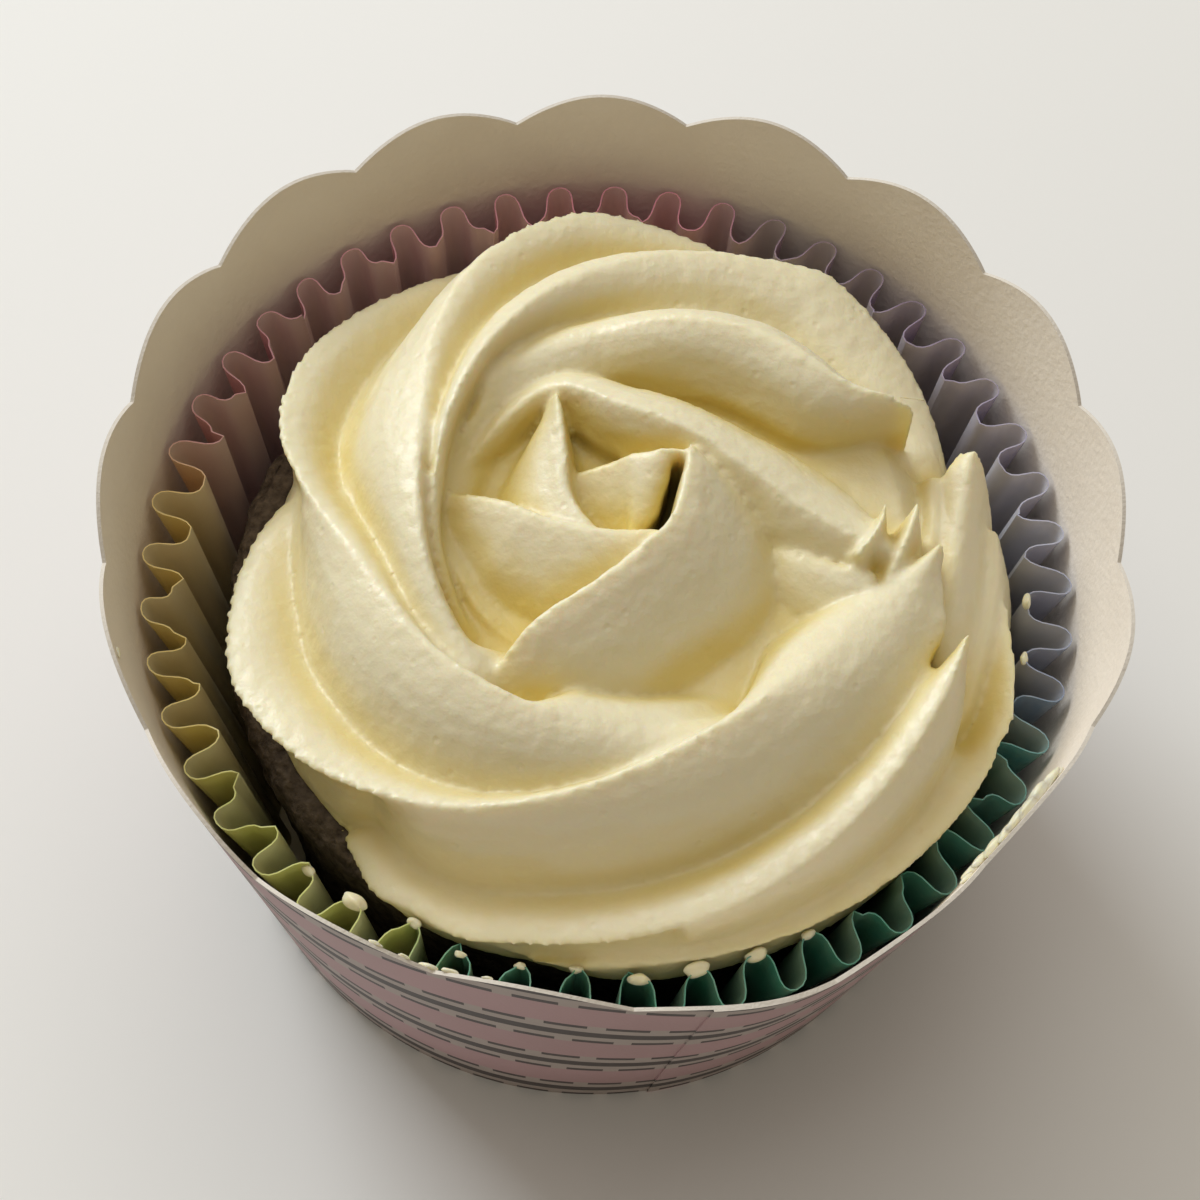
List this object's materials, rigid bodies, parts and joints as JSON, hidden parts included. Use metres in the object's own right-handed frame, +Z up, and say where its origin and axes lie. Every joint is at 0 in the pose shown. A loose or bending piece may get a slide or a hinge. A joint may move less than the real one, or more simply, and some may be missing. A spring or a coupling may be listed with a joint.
{
  "type": "cupcake",
  "caption": "Chocolate cupcake with a piped cream rosette, in a pleated greaseproof liner set inside a scalloped card baking cup.",
  "frame": {"origin": "centre of the card cup's flat base, on the surface it stands on", "axes": "+Z up along the cup's axis, -Y towards the front, where the card cup's overlap seam is, +X to the viewer's right"},
  "size_m": [0.0754, 0.0755, 0.0471],
  "materials": {
    "card": "printed matt card, pink with dark dashed bands outside, plain pale grey inside",
    "liner_paper": "greaseproof paper printed in a rainbow of colours round the cup",
    "sponge": "matt dark chocolate sponge",
    "cream": "satin cream-coloured buttercream"
  },
  "bodies": {
    "root": {"cup": "card", "liner": "liner_paper", "cake": "sponge", "frosting": "cream"}
  },
  "joints": []
}
